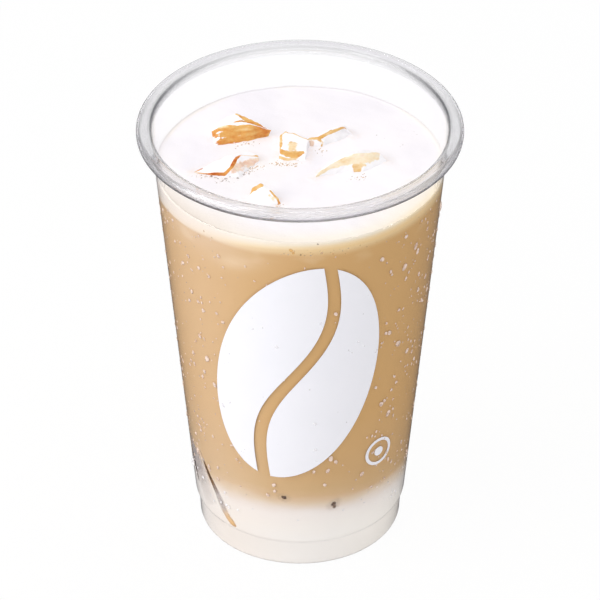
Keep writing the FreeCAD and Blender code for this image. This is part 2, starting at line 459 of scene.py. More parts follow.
def milk_foam(t):
    """Foam: nearly white with faint lilac shade and fine bubbles, cream where the latte shows
    through its edge, with painted shade on the left from the drink's colours, a thin grey line along
    the wall behind and at the sides, and stained round the ice."""
    place = t.place()
    layers = layer_colour(t, 0.0)
    cloud = t.span(t.noise(place, 34.0, 2.0), 0.4, 0.65)
    top = t.mix(cloud, layers, rgb(240, 236, 241))
    colour = t.mix(t.attribute("open_top"), layers, top)
    # A thin grey line along the wall, behind and at the sides.
    rim = t.product(t.span(t.attribute("wall_gap"), 0.25, 0.7, 1.0, 0.0), t.attribute("open_top"))
    colour = t.mix(t.product(rim, 0.6), colour, rgb(214, 210, 214))
    fleck = t.span(t.noise(place, 700.0, 2.0), 0.45, 0.62)
    stain = t.product(t.attribute("stain"), t.sum(t.product(fleck, 0.6), 0.4))
    colour = t.mix(stain, colour, rgb(240, 219, 205))
    bubbles = t.add("ShaderNodeTexVoronoi", {"Vector": place, "Scale": 1400.0}, feature="SMOOTH_F1")
    return {
        "Base Color": colour,
        "Roughness": 0.6,
        "Specular IOR Level": 0.0,
        "Normal": t.bump(bubbles.outputs["Distance"], 0.12, 0.0003),
    }


def print_ink(t):
    """White ink, a little uneven in gloss."""
    grain = t.noise(t.place(), 60.0, 2.0)
    return {
        "Base Color": t.mix(grain, rgb(236, 236, 242), rgb(240, 239, 245)),
        "Roughness": t.span(grain, 0.3, 0.7, 0.3, 0.45),
        "IOR": 1.5,
        "Specular IOR Level": 0.3,
    }


def water_drops(t):
    """Condensation: small domes of water, coloured pale and pinkish against the drink as a painted
    highlight, and near white where they lie over the print or the milk.
    """
    haze = t.noise(t.place(), 900.0, 2.0)
    # Painted highlight: the drops' pale pinkish colour.
    pink = t.mix(haze, rgb(228, 200, 182), rgb(246, 228, 216))
    return {
        "Base Color": t.mix(t.attribute("over_white"), pink, rgb(252, 250, 253)),
        "Roughness": 0.12,
        "IOR": 1.33,
        "Alpha": t.span(haze, 0.35, 0.65, 0.45, 0.9),
    }


# Coffee stains from pink through pale to deep: tone and colour.
STAIN_TONES = (
    (-0.6, (226, 180, 154)), (-0.3, (239, 210, 190)), (0.0, (248, 234, 210)), (0.3, (240, 212, 168)),
    (0.55, (226, 178, 106)), (0.75, (217, 147, 76)), (1.0, (186, 92, 38)),
)


def ice_look(t):
    """Melting ice: foam-white, and caramel where coffee stains it, in uneven streaks."""
    place = t.place()
    ragged = t.noise(place, 300.0, 4.0, 0.7)
    fine = t.noise(place, 1100.0, 2.0)
    streaks = t.noise(t.stretched(place, (0.3, 1.0, 1.6)), 420.0, 3.0, 0.6)
    edge = t.sum(t.sum(t.attribute("stain"), t.sway(ragged, 1.1)), t.sway(fine, 0.45))
    cover = t.span(edge, 0.34, 0.58)
    tone = t.sum(t.attribute("tone"), t.sum(t.sway(streaks, 1.1), t.sway(fine, 0.25)))
    return {
        "Base Color": t.mix(cover, rgb(250, 247, 250), ramp_between(t, tone, STAIN_TONES)),
        "Roughness": t.blend(cover, 0.5, 0.25),
        "IOR": 1.31,
        "Specular IOR Level": 0.3,
        "Subsurface Weight": 0.25,
        "Subsurface Scale": 0.002,
        "Subsurface Radius": (1.0, 0.95, 0.9),
        "Normal": t.bump(streaks, 0.2, 0.0003),
    }


# Marks against the wall, and the painted shade of sunk ice: from dark coffee through grey to orange.
MARK_TONES = (
    (0.0, (72, 42, 16)), (0.3, (140, 106, 74)), (0.5, (206, 198, 196)), (0.7, (238, 210, 180)),
    (1.0, (232, 184, 112)),
)


def mark_look(t):
    """Bubbles, specks, and the painted shade of sunk ice's edges: brown or grey, and thin towards
    their rims.
    """
    grain = t.noise(t.place(), 900.0, 2.0)
    tone = t.sum(t.attribute("tone"), t.sway(grain, 0.2))
    return {
        "Base Color": ramp_between(t, tone, MARK_TONES),
        "Roughness": t.blend(grain, 0.3, 0.5),
        "Specular IOR Level": 0.2,
        "Alpha": t.attribute("cover"),
    }


DRINK_COLOUR = drink_colour_group()
CLEAR_PLASTIC = clear_plastic()
MILK = finished("milk", drink, 0.0)
LATTE = finished("latte", drink, 1.0)
FOAM = finished("milk_foam", milk_foam)
INK = finished("print_ink", print_ink)
DROPS = finished("condensation", water_drops)
ICE = finished("stained_ice", ice_look)
MARKS = finished("coffee_marks_and_ice_shade", mark_look)

# ---------------------------------------------------------------- cup

shoulder_radius = outside_radius(SHOULDER_HEIGHT)
foot_inner = FOOT_RADIUS - FOOT_WIDTH
floor_radius = foot_inner - FLOOR_RISE / math.tan(FLOOR_SLOPE)
slope_offset = WALL * math.tan(FLOOR_SLOPE / 2)
curl_bottom = CUP_HEIGHT - LIP_HEIGHT
curl_end = outside_radius(curl_bottom) + CURL_GAP

# Rows of the wall just above the foam, between which it turns from drink's wall to bare wall.
ABOVE_FOAM = (FOAM_LEVEL + 0.1, FOAM_LEVEL + 0.7)
CUP_OUTSIDE = (
    (0, FLOOR_RISE, 0),
    (floor_radius, FLOOR_RISE, FLOOR_ROUND + WALL),
    (foot_inner, 0, FLOOR_ROUND),
    (FOOT_RADIUS, 0, HEEL_ROUND),
    (CREASE_RADIUS, CREASE_HEIGHT, 0),
    (shoulder_radius, SHOULDER_HEIGHT, SHOULDER_ROUND),
    *[(outside_radius(z), z, 0) for z in (*ABOVE_FOAM, curl_bottom)],
    (outside_radius(CUP_HEIGHT - WALL), CUP_HEIGHT - WALL, LIP_ROUND - WALL),
    (LIP_RADIUS - WALL, CUP_HEIGHT - WALL, LIP_ROUND - WALL),
    (LIP_RADIUS - WALL, curl_bottom + WALL, LIP_ROUND - WALL),
    (curl_end, curl_bottom + WALL, 0),
    (curl_end, curl_bottom, 0),
    (LIP_RADIUS, curl_bottom, LIP_ROUND),
    (LIP_RADIUS, CUP_HEIGHT, LIP_ROUND),
    (inside_radius(CUP_HEIGHT), CUP_HEIGHT, LIP_ROUND),
)
CUP_INSIDE = (
    (0, FLOOR_RISE + WALL, 0),
    (floor_radius + slope_offset, FLOOR_RISE + WALL, FLOOR_ROUND),
    (foot_inner + slope_offset, WALL, FLOOR_ROUND / 2),
    (FOOT_RADIUS - WALL, WALL, HEEL_ROUND - WALL),
    (CREASE_RADIUS - WALL, CREASE_HEIGHT, 0),
    (inside_radius(SHOULDER_HEIGHT), SHOULDER_HEIGHT, SHOULDER_ROUND - WALL),
)
INSIDE_TOP = [(inside_radius(z), z, 0) for z in (curl_bottom + 1, *reversed(ABOVE_FOAM))]
cup_points, cup_faces = turned(
    rounded([*CUP_OUTSIDE, *INSIDE_TOP, *reversed(CUP_INSIDE)], steps=11)
)
cup = new_piece("clear_cup", cup_points, cup_faces, CLEAR_PLASTIC, 30, "clear_plastic", ["cup"])


def mark_cup(piece, points):
    """Stores the lip's painted shade: dark lines round it, strongest at the sides, that stand in for
    the dark lines that refraction draws, over a faint grey. Also stores what lets light straight
    through: the end of the curl behind, and in front the inside of the curl and the bare wall above
    the drink."""
    radius, height, turn = np.hypot(*points[:, :2].T), points[:, 2], turn_from_front(points)
    sides = hump(turn, -90, 42) + hump(turn, 90, 42)
    behind = np.clip((np.abs(turn) - 80) / 40, 0, 1)
    front, corners = 1 - behind, hump(turn, -58, 38) + hump(turn, 62, 34)
    mouth = inside_radius(CUP_HEIGHT)
    top, above = CUP_HEIGHT - 0.9, CUP_HEIGHT + 1
    low = curl_bottom + LIP_ROUND
    # Painted shade: a faint grey over the whole lip.
    edge = 0.06 * ((height > curl_bottom + 0.2) & (radius > mouth + 0.1))
    # Each painted dark line: strength, radius, the heights it lies between, and width.
    for strength, middle, lowest, highest, width in (
        (sides, mouth + 0.25, top - 0.8, above, 0.45),
        (0.06 + 0.16 * sides, LIP_RADIUS - 0.9, top, above, 0.22),
        (0.03 + 0.14 * sides, mouth + 1.2, top, above, 0.2),
        (front, LIP_RADIUS - 0.65, 0, low, 0.55),
        (0.1 * front, LIP_RADIUS, 0, CUP_HEIGHT - 1.7, 0.3),
        (0.7 * corners, LIP_RADIUS - 0.2, 0, low + 0.3, 0.35),
        (0.2 * behind, mouth + 0.5, top - 0.3, above, 0.4),
    ):
        edge += strength * bell(radius, middle, width) * ((height > lowest) & (height < highest))
    inside_curl = (radius < LIP_RADIUS - WALL + 0.02) & (height < CUP_HEIGHT - WALL + 0.02)
    inside_curl &= (radius > outside_radius(height) - 0.02) & (height > curl_bottom + 0.3)
    under = (height > curl_bottom - 0.1) & (height < curl_bottom + 1.0)
    under &= radius > curl_end - 0.1
    inner = (radius < mouth + 1.2) & (height > CUP_HEIGHT - 2.5)
    bare = (height > FOAM_LEVEL + 0.5) & (height < curl_bottom + 1.1)
    bare &= radius < outside_radius(height) + 0.05
    open_parts = np.maximum(0.5 * inside_curl, 0.6 * hump(turn, 0, 75) * inner)
    bare_front = bare * (1 - np.clip((np.abs(turn) - 66) / 12, 0, 1))
    open_parts = front * np.maximum(open_parts, bare_front)
    set_attributes(
        piece, edge=np.clip(edge, 0, 1), open=np.maximum(0.85 * behind * under, open_parts)
    )


mark_cup(cup, cup_points)

# ---------------------------------------------------------------- drink


def into_wall(corner):
    """A corner of the cup's inside, moved into the sheet by WALL_BITE."""
    radius, height, rounding = corner
    if radius:
        radius += WALL_BITE
    if height < CREASE_HEIGHT:
        height -= WALL_BITE
    return radius, height, rounding


def cone_rows(low, high, rows):
    """(radius, height, no rounding) rows up the cone, just inside its sheet."""
    return [(drink_radius(z), z, 0) for z in np.linspace(low, high, rows)]


# How the borders rise and dip round the cup: height, middle in degrees from the front, width.
MILK_HUMPS = ((-0.3, -30, 22), (-5.5, -85, 25), (-6.5, 85, 32))
FOAM_HUMPS = ((-0.9, -28, 14), (-1.6, -55, 16), (-4.0, -85, 20), (0.9, 57, 22), (-0.6, 95, 15))
SOFTNESS_HUMPS = ((-0.45, -65, 38), (0.45, 40, 50))
# The edge of the sunk ice at the left, where the milk reaches higher: heights, and degrees.
SUNK_ICE_EDGE = (11, 17, 20.5, 24, 27, 31), (-40, -46, -49, -53.5, -56.5, -60)
SUNK_ICE_LIFT = 8.0


def set_borders(piece, points, wall_gap=0.0):
    """Stores how far each point lies above the uneven borders of the milk and of the foam. On the
    foam's top the distance from the wall adds to it, slowly at the front and fast behind. Also
    stores how soft the foam's border is, where a wisp shows, where painted sheen and shade go on the
    left, and where painted light through the milk goes on the right."""
    turn, height = turn_from_front(points), points[:, 2]
    milk_border = MILK_LEVEL - 1.2 + humps(turn, MILK_HUMPS)
    beyond_ice = np.clip((np.interp(height, *SUNK_ICE_EDGE) - turn) / 2, 0, 1)
    milk_border += SUNK_ICE_LIFT * beyond_ice * hump(turn, -70, 30)
    foam_border = LATTE_LEVEL + 1.2 + humps(turn, FOAM_HUMPS)
    spread = 0.5 + 3.0 * np.clip((np.abs(turn) - 75) / 40, 0, 1)
    wisp = hump(turn, -27, 9) * bell(height, 118.5 + 0.12 * (turn + 27), 2.4)
    # Painted sheen and shade on the left, stronger near the top and fading away from the wall.
    haze = (0.2 + 0.26 * bell(height, 127, 8)) * np.exp(-wall_gap / 5)
    in_milk = np.clip((milk_border - height) / 4, 0, 1)
    set_attributes(
        piece,
        over_milk=height - milk_border,
        over_foam=height - foam_border + spread * wall_gap,
        border_softness=0.75 + humps(turn, SOFTNESS_HUMPS),
        wisp=0.55 * wisp,
        # Painted sheen and shade on the left, also low in the milk; painted light through the milk on
        # the right.
        haze=haze * hump(turn, -47, 31) + 0.22 * in_milk * hump(turn, -40, 40),
        lit_through=in_milk * hump(turn, 68, 55),
    )


def drink_layer(name, corners, material, slot, node):
    """A layer of the drink, turned from its corners."""
    points, faces = turned(rounded(corners))
    piece = new_piece(name, points, faces, material, 50, slot, [node])
    set_borders(piece, points)


milk_corners = [*map(into_wall, CUP_INSIDE), *cone_rows(MILK_LEVEL, MILK_LEVEL, 1)]
drink_layer("milk", [*milk_corners, (0, MILK_LEVEL, 0)], MILK, "milk", "milk_layer")
latte_corners = [(0, MILK_LEVEL, 0), *cone_rows(MILK_LEVEL, LATTE_LEVEL, 60), (0, LATTE_LEVEL, 0)]
drink_layer("latte", latte_corners, LATTE, "latte", "latte_layer")

# ---------------------------------------------------------------- ice and foam

# Each chunk that pokes through the foam, millimetres. Its rim runs anticlockwise seen from above,
# in corners of x, y, rise above the foam, and how far off in x and y its flank meets the foam. Its
# crown is its middle. Each stain is a path of x, y, rise and half width, with its strength (below
# nothing it clears) and tone, and front stains the flanks that face the front.
ICE_PIECES = {
    "ice_back_left": dict(
        rim=[
            (-27.0, 13.9, 2.7, 0.9, -3.4), (-23.6, 14.2, 4.5, -1.6, -4.0),
            (-14.3, 14.1, 5.0, -1.0, -2.2), (-8.4, 15.0, 2.3, -1.2, -0.4),
            (-13.2, 16.2, 4.7, 0.0, 1.0), (-19.1, 18.9, 6.1, 0.0, 1.4),
            (-23.7, 17.1, 5.0, -0.8, 1.0),
        ],
        crown=(-18.6, 16.0, 5.1), front=(1.0, 0.66),
        stains=[
            ([(-26.3, 11.2, 0.9, 0.5), (-24.6, 11.6, 1.6, 0.45)], -1.0, 0.0),
            ([(-24.6, 13.9, 4.0, 0.5), (-21.4, 13.7, 4.5, 0.5)], 0.9, 0.3),
            ([(-19.2, 18.7, 5.9, 0.45), (-16.0, 16.6, 5.3, 0.8), (-13.4, 15.2, 4.9, 0.6)], 0.95, 0.6),
            ([(-22.4, 15.6, 5.0, 0.35), (-16.6, 15.7, 5.2, 0.4)], 0.9, 0.62),
            ([(-26.8, 12.4, 2.2, 0.3), (-25.9, 10.6, 0.4, 0.35), (-22.6, 11.2, 1.0, 0.3)], 0.9, 0.75),
        ],
    ),
    "ice_middle": dict(
        rim=[
            (-6.0, 2.4, 1.2, -0.6, -2.2), (1.6, 1.7, 1.1, 0.4, -2.0), (2.4, 9.8, 2.4, 0.8, 0.2),
            (-0.2, 11.6, 2.6, 0.3, 0.8), (-4.4, 13.8, 2.8, -0.2, 1.0), (-5.9, 12.4, 2.6, -0.9, 0.2),
        ],
        crown=(-1.9, 7.2, 2.2), front=(0.0, 0.5),
        stains=[
            ([
                (-1.6, 0.9, 0.6, 0.6), (-4.2, 1.2, 0.7, 0.45), (-6.2, 2.2, 0.8, 0.45),
                (-6.9, 3.9, 0.9, 0.5), (-6.1, 6.5, 1.8, 0.55), (-5.9, 12.6, 2.6, 0.6),
                (-4.3, 13.8, 2.8, 0.55), (-0.1, 11.6, 2.6, 0.5), (2.3, 9.9, 2.4, 0.5),
            ], 0.85, 0.42),
            ([
                (-6.4, 5.4, 1.5, 0.5), (-5.2, 4.2, 1.4, 0.8), (-3.4, 3.3, 1.5, 1.3),
                (-1.5, 3.0, 1.4, 1.4), (0.7, 3.8, 1.5, 0.6),
            ], 1.0, 0.6),
            ([(-2.4, 5.2, 1.7, 1.5), (-2.2, 7.6, 2.1, 1.5)], 0.6, 0.3),
            ([(-1.6, 2.4, 1.3, 0.5), (-0.4, 2.4, 1.3, 0.4)], 0.9, 0.86),
        ],
    ),
    "ice_back_right": dict(
        rim=[
            (2.2, 10.4, 2.1, -0.3, -1.8), (5.8, 10.7, 2.3, 0.3, -2.6), (10.3, 13.9, 3.1, 1.4, -2.2),
            (13.5, 16.3, 3.0, 1.6, -1.6), (15.8, 15.4, 0.9, 0.8, -0.6), (13.6, 17.5, 2.5, 0.0, 1.0),
            (9.6, 15.7, 2.8, -0.3, 1.0), (5.0, 12.2, 2.2, -0.3, 0.8),
        ],
        crown=(9.3, 14.1, 2.8), front=(0.0, 0.5),
        stains=[
            ([
                (2.2, 10.5, 2.1, 0.35), (5.8, 10.8, 2.3, 0.5), (10.3, 14.0, 3.1, 0.75),
                (13.3, 16.3, 3.0, 0.6), (14.8, 16.1, 2.0, 0.25),
            ], 0.95, 0.5),
            ([(5.6, 10.4, 2.1, 0.5), (6.8, 9.6, 1.4, 0.5), (6.6, 8.9, 0.6, 0.35)], 0.8, 0.5),
            ([(3.2, 9.6, 1.2, 1.3)], 0.6, -0.3),
        ],
    ),
    "ice_right": dict(
        rim=[
            (4.6, -7.9, 0.6, 0.0, -0.6), (8.3, -5.0, 2.4, 0.6, -1.6), (13.4, -1.7, 3.5, 0.6, -3.4),
            (18.5, 0.2, 3.6, 0.6, -5.0), (23.9, 2.1, 2.7, 0.6, -3.0), (26.0, 0.9, 0.9, 0.8, -0.6),
            (22.5, 4.0, 2.3, 0.4, 1.0), (17.5, 2.4, 2.9, 0.0, 1.2), (11.5, 0.0, 2.9, -0.4, 1.0),
            (6.8, -4.6, 1.7, -0.6, 0.6),
        ],
        crown=(15.4, 0.6, 3.3), front=(0.0, 0.2),
        stains=[
            ([
                (4.8, -7.8, 0.7, 0.5), (8.3, -5.2, 2.2, 0.8), (13.4, -2.6, 2.7, 1.2),
                (18.5, -1.0, 2.7, 1.7), (22.6, 1.1, 2.3, 1.5),
            ], 0.9, 0.08),
            ([(4.7, -7.9, 0.6, 0.45), (8.3, -5.1, 2.3, 0.35), (13.4, -1.8, 3.4, 0.3)], 0.9, 0.38),
            ([(16.4, -3.4, 1.4, 0.8), (19.6, -2.9, 1.6, 0.6)], 0.9, 0.36),
            ([(17.3, -4.1, 0.9, 1.3), (16.8, -5.3, 0.3, 0.8)], 0.85, 0.4),
        ],
    ),
    "ice_left": dict(
        rim=[
            (-32.3, -6.1, 0.5, -0.3, -0.4), (-27.0, -7.0, 0.9, 0.0, -1.0),
            (-22.4, -7.4, 1.1, 0.6, -1.4), (-20.3, -5.3, 2.3, 2.4, -2.6),
            (-19.3, -1.7, 2.9, 3.4, -3.0), (-17.9, 0.2, 3.1, 3.4, -2.8),
            (-12.3, 1.5, 1.9, 0.8, -1.6), (-15.8, 4.0, 2.0, 0.3, 1.0),
            (-21.8, 1.2, 2.2, -0.8, 1.2), (-29.2, -4.2, 1.4, -0.6, 0.8),
        ],
        crown=(-20.6, -1.2, 2.5), front=(0.0, 0.3),
        stains=[
            ([
                (-20.6, -6.0, 1.2, 1.3), (-17.8, -3.6, 1.2, 1.8), (-14.8, -1.4, 1.2, 1.7),
                (-12.4, 0.4, 1.3, 0.9),
            ], 0.55, -0.32),
            ([
                (-32.3, -6.1, 0.5, 0.25), (-28.0, -6.9, 0.9, 0.4), (-22.6, -7.3, 1.1, 0.55),
                (-20.4, -5.2, 2.2, 0.65), (-19.3, -1.8, 2.9, 0.5), (-18.0, 0.3, 3.1, 0.4),
            ], 1.0, 0.84),
            ([(-32.0, -5.8, 0.6, 0.2), (-29.3, -4.6, 1.4, 0.28), (-24.0, -5.6, 1.7, 0.2)], 0.9, 0.8),
            ([(-18.0, 0.3, 3.1, 0.25), (-12.4, 1.4, 1.9, 0.35)], 0.8, 0.5),
        ],
    ),
    "ice_front": dict(
        rim=[
            (-15.4, -20.4, 0.9, -0.6, -1.6), (-10.6, -21.6, 1.5, -0.2, -3.0),
            (-6.0, -21.2, 1.0, 0.8, -1.6), (-8.4, -18.1, 2.7, 1.2, 0.2), (-11.6, -16.8, 4.2, 0.2, 1.4),
            (-14.0, -17.9, 3.4, -1.2, 0.4),
        ],
        crown=(-11.4, -18.4, 3.5), front=(0.0, 0.5),
        stains=[
            ([
                (-15.9, -20.0, 0.8, 0.2), (-15.0, -19.0, 2.0, 0.45), (-13.6, -18.2, 3.3, 0.9),
                (-11.6, -17.4, 4.1, 0.8),
            ], 0.95, 0.55),
            ([(-8.8, -18.9, 2.6, 0.3), (-6.6, -21.2, 1.3, 0.4), (-6.1, -22.2, 0.5, 0.4)], 0.9, 0.6),
            ([(-9.0, -20.4, 2.0, 0.5), (-7.6, -21.6, 1.2, 0.9)], 0.5, 0.3),
        ],
    ),
}


def ring_of(corners, count):
    """Points spaced evenly along a closed path of straight runs through the corners."""
    corners = np.array(corners, dtype=float)
    closed = np.vstack([corners, corners[:1]])
    along = np.append(0, np.cumsum(np.linalg.norm(np.diff(closed[:, :3], axis=0), axis=1)))
    at = np.linspace(0, along[-1], count, endpoint=False)
    return np.stack([np.interp(at, along, closed[:, k]) for k in range(corners.shape[1])], -1)


ICE_AROUND, FLANK_ROWS, TOP_ROWS = 160, 26, 16
FOOT_DEPTH, FOOT_REACH, ROOT_DEPTH, ROUNDING_PASSES = 0.6, 1.1, 8.0, 3


def ice_points(rim, crown, seed):
    """A chunk as rings from its root, under the foam, to its rim and on to its crown, and the
    number of rings. The flank runs straight from its foot, just under the foam, to the rim; edges
    are rounded by averaging each point with its neighbours, and melting noise then moves each
    point away from a middle inside the chunk."""
    path = ring_of(rim, ICE_AROUND)
    ring = path[:, :3]
    foot = np.column_stack([ring[:, :2] + FOOT_REACH * path[:, 3:], np.full(ICE_AROUND, -FOOT_DEPTH)])
    root = np.column_stack([ring[:, :2], np.full(ICE_AROUND, -ROOT_DEPTH)])
    up = np.linspace(0, 1, FLANK_ROWS)[:, None, None]
    inwards = np.linspace(0, 1, TOP_ROWS)[1:-1, None, None]
    top = ring + (np.array(crown) - ring) * inwards
    rows = np.concatenate([root[None], foot + (ring - foot) * up, top])
    for _ in range(ROUNDING_PASSES):
        rows = (np.roll(rows, 1, 1) + 2 * rows + np.roll(rows, -1, 1)) / 4
        rows[1:-1] = (rows[:-2] + 2 * rows[1:-1] + rows[2:]) / 4
    points = rows.reshape(-1, 3)
    outward = points - np.append(path[:, :2].mean(0), -3.0)
    outward /= np.linalg.norm(outward, axis=1)[:, None]
    melt = 0.16 * waves(points, 3.5, seed) + 0.09 * waves(points, 1.3, seed + 50)
    points = points + melt[:, None] * outward
    return np.vstack([points, root.mean(0), rows[-1].mean(0)]), len(rows)


def path_distance(points, path):
    """How far each point lies from a path of (x, y, z, half width) stations, divided by the half
    width there."""
    path = np.array(path if len(path) > 1 else 2 * path, dtype=float)
    best = np.full(len(points), 1e9)
    for a, b in zip(path[:-1], path[1:]):
        run = b - a
        length = max(run[:3] @ run[:3], 1e-9)
        share = np.clip((points - a[:3]) @ run[:3] / length, 0, 1)
        away = np.linalg.norm(points - a[:3] - share[:, None] * run[:3], axis=1)
        best = np.minimum(best, away / (a[3] + share * run[3]))
    return best


def ice_stains(points, normals, front, stains):
    """Stain and tone of each point: the strongest of the front's stain and the paths' stains,
    each of which falls from its strength to nothing between 0.5 and 1.7 half widths."""
    flank = np.clip(-normals[:, 1] * 2.2 - 0.5, 0, 1) * np.clip(2.4 - 2.6 * normals[:, 2], 0, 1)
    flank *= np.clip(points[:, 2] * 2 + 0.6, 0, 1)
    stain, tone = front[0] * flank, np.full(len(points), front[1])
    for path, strength, path_tone in stains:
        near = np.clip((1.7 - path_distance(points, path)) / 1.2, 0, 1)
        if strength < 0:
            stain = stain * (1 + strength * near)
            continue
        share = np.clip((strength * near - stain) * 4, 0, 1)
        tone = tone + (path_tone - tone) * share
        stain = np.maximum(stain, strength * near)
    return stain, tone


for order, (name, shape) in enumerate(ICE_PIECES.items()):
    local, rows = ice_points(shape["rim"], shape["crown"], order + 1)
    placed, faces = local + np.array([0, 0, FOAM_LEVEL]), capped_faces(rows, ICE_AROUND)
    piece = new_piece(f"{name}_chunk", placed, faces, ICE, 60, "ice", [name])
    normals = np.empty(len(local) * 3, dtype=np.float32)
    piece.data.vertices.foreach_get("normal", normals)
    stain, tone = ice_stains(local, normals.reshape(-1, 3), shape["front"], shape["stains"])
    set_attributes(piece, stain=stain, tone=tone)

FOAM_ROWS, FOAM_COLUMNS = 110, 2 * SEGMENTS
MOUND_HEIGHT, MOUND_REACH = 0.45, 2.2
WET_LIFT, WET_REACH = 0.5, 0.8
STAIN_REACH = 2.4


def foam_top(x, y):
    """Height of the foam's top: its level, slow waves, a small mound round each chunk of ice that
    falls off as exp(-(distance / reach) squared), and a lift where it wets the wall that falls off
    as exp(-distance / reach). Also the stain round the ice."""
    flat = np.stack([x, y], -1).reshape(-1, 2)
    height = FOAM_LEVEL + 0.14 * waves(flat, 17.0, 21) + 0.05 * waves(flat, 5.0, 22)
    away = np.full(len(flat), 1e9)
    for shape in ICE_PIECES.values():
        rim = ring_of([corner[:2] for corner in shape["rim"]], 60)
        away = np.minimum(away, np.linalg.norm(flat[:, None] - rim[None], axis=-1).min(1))
    edge = np.clip(inside_radius(FOAM_LEVEL) - np.hypot(x, y), 0, None).ravel()
    height += MOUND_HEIGHT * bell(away, 0, MOUND_REACH) + WET_LIFT * np.exp(-edge / WET_REACH)
    return height.reshape(x.shape), bell(away, 0, STAIN_REACH).reshape(x.shape)


angle = full_turn(FOAM_COLUMNS)
share = np.linspace(1, 0, FOAM_ROWS + 1)[:-1, None] ** 0.85
edge_radius = drink_radius(FOAM_LEVEL)
foam_x, foam_y = edge_radius * share * np.cos(angle), edge_radius * share * np.sin(angle)
foam_z, foam_stain = foam_top(foam_x, foam_y)
foot_row = round_axis(drink_radius(LATTE_LEVEL), angle, LATTE_LEVEL)
foam_rows = np.concatenate([foot_row[None], np.stack([foam_x, foam_y, foam_z], -1)])
poles = [[0, 0, LATTE_LEVEL], [0, 0, foam_z[-1].mean()]]
foam_points = np.vstack([foam_rows.reshape(-1, 3), poles])
foam_faces = capped_faces(len(foam_rows), FOAM_COLUMNS)
foam = new_piece("foam", foam_points, foam_faces, FOAM, 60, "milk_foam", ["foam_layer"])
wall_gap = edge_radius - np.hypot(foam_points[:, 0], foam_points[:, 1])
behind = np.clip((np.abs(turn_from_front(foam_points)) - 75) / 40, 0, 1)
open_top = np.maximum(np.clip((wall_gap - 3) / 6, 0, 1), behind)
stain = np.concatenate([np.zeros(FOAM_COLUMNS), 0.35 * foam_stain.ravel(), [0, 0]])
wall_gap[:FOAM_COLUMNS] = open_top[:FOAM_COLUMNS] = 0
set_borders(foam, foam_points, wall_gap)
set_attributes(foam, wall_gap=wall_gap, open_top=open_top, stain=stain)

# ---------------------------------------------------------------- print

PRINT_LIFT, PRINT_THICKNESS = 0.03, 0.05
BEAN_CENTRE, BEAN_TURN = (-1.0, 78.0), math.radians(14)
BEAN_HALF_WIDTH, BEAN_HALF_HEIGHT, CREASE_WIDTH, CREASE_SWING = 25.0, 42.0, 4.2, 5.4
BEAN_ROWS, BEAN_COLUMNS = 12, 90
BEAN_REACH = 0.985  # how far the grid runs towards the bean's tips, where it would close
BEAN_LEAST_WIDTH = 0.05


def on_wall(x, z, lift):
    """A flat drawing wrapped on the cone: x runs round it to the right, z runs up."""
    return round_axis(outside_radius(z) + lift, x / outside_radius(z) - math.pi / 2, z)


def film(x, z, wrap=False):
    """A printed film from a grid of flat places wrapped on the cone: a front and a back
    PRINT_THICKNESS apart, joined round their edges."""
    lifts = (PRINT_LIFT + PRINT_THICKNESS, PRINT_LIFT)
    points = np.concatenate([on_wall(x, z, lift).reshape(-1, 3) for lift in lifts])
    return points, sheet_faces(*x.shape, wrap)


def turned_flat(x, y, angle):
    """A flat drawing turned clockwise by an angle."""
    c, s = math.cos(angle), math.sin(angle)
    return x * c + y * s, y * c - x * s


def crease_middle(y):
    """How far the bean's crease lies to the right of its middle line at a height y."""
    return CREASE_SWING * np.sin(math.pi * y / BEAN_HALF_HEIGHT)


def bean_half(side):
    """Half of a coffee bean, from its crease out to its edge, as a grid of flat places. The edge
    is an ellipse, and the crease's middle is swing x sin(pi y / half height)."""
    y = BEAN_HALF_HEIGHT * np.sin(np.linspace(-1, 1, BEAN_COLUMNS) * math.pi / 2 * BEAN_REACH)
    edge = BEAN_HALF_WIDTH * np.sqrt(1 - (y / BEAN_HALF_HEIGHT) ** 2)
    inner = crease_middle(y) + side * CREASE_WIDTH / 2
    outer = side * np.maximum(edge, side * inner + BEAN_LEAST_WIDTH)
    x = inner + (outer - inner) * np.linspace(0, 1, BEAN_ROWS)[:, None]
    x, y = turned_flat(x, y + 0 * x, BEAN_TURN)
    return BEAN_CENTRE[0] + x[::side], BEAN_CENTRE[1] + y[::side]


def join(parts):
    """Several (points, faces) as one."""
    points, faces, start = [], [], 0
    for part_points, part_faces in parts:
        points.append(part_points)
        faces += [[i + start for i in f] for f in part_faces]
        start += len(part_points)
    return np.concatenate(points), faces


halves = [film(*bean_half(side)) for side in (-1, 1)]
new_piece("printed_bean", *join(halves), INK, 30, "clear_plastic")

RING_PLACE = (0.7436, 40.5)  # turn from the front in radians, and height
RING_RADIUS, RING_WIDTH, RING_DOT, DOT_HOLE = 5.2, 1.1, 1.7, 0.02


def ring_grid(inner, outer, centre_angle, centre_height):
    """A flat ring between two radii, about an angle round the cup and a height: x = the centre's
    arc + radius cos(t), z = its height + radius sin(t)."""
    t = full_turn(64)[:, None]
    radius = np.linspace(inner, outer, 3)
    centre_x = centre_angle * outside_radius(centre_height)
    return centre_x + radius * np.cos(t), centre_height + radius * np.sin(t)


ring_reaches = [(RING_RADIUS - RING_WIDTH, RING_RADIUS), (DOT_HOLE, RING_DOT)]
rings = [film(*ring_grid(*reach, *RING_PLACE), wrap=True) for reach in ring_reaches]
new_piece("printed_ring", *join(rings), INK, 30, "clear_plastic")

# ---------------------------------------------------------------- drops, marks and bubbles

random = np.random.default_rng(7)


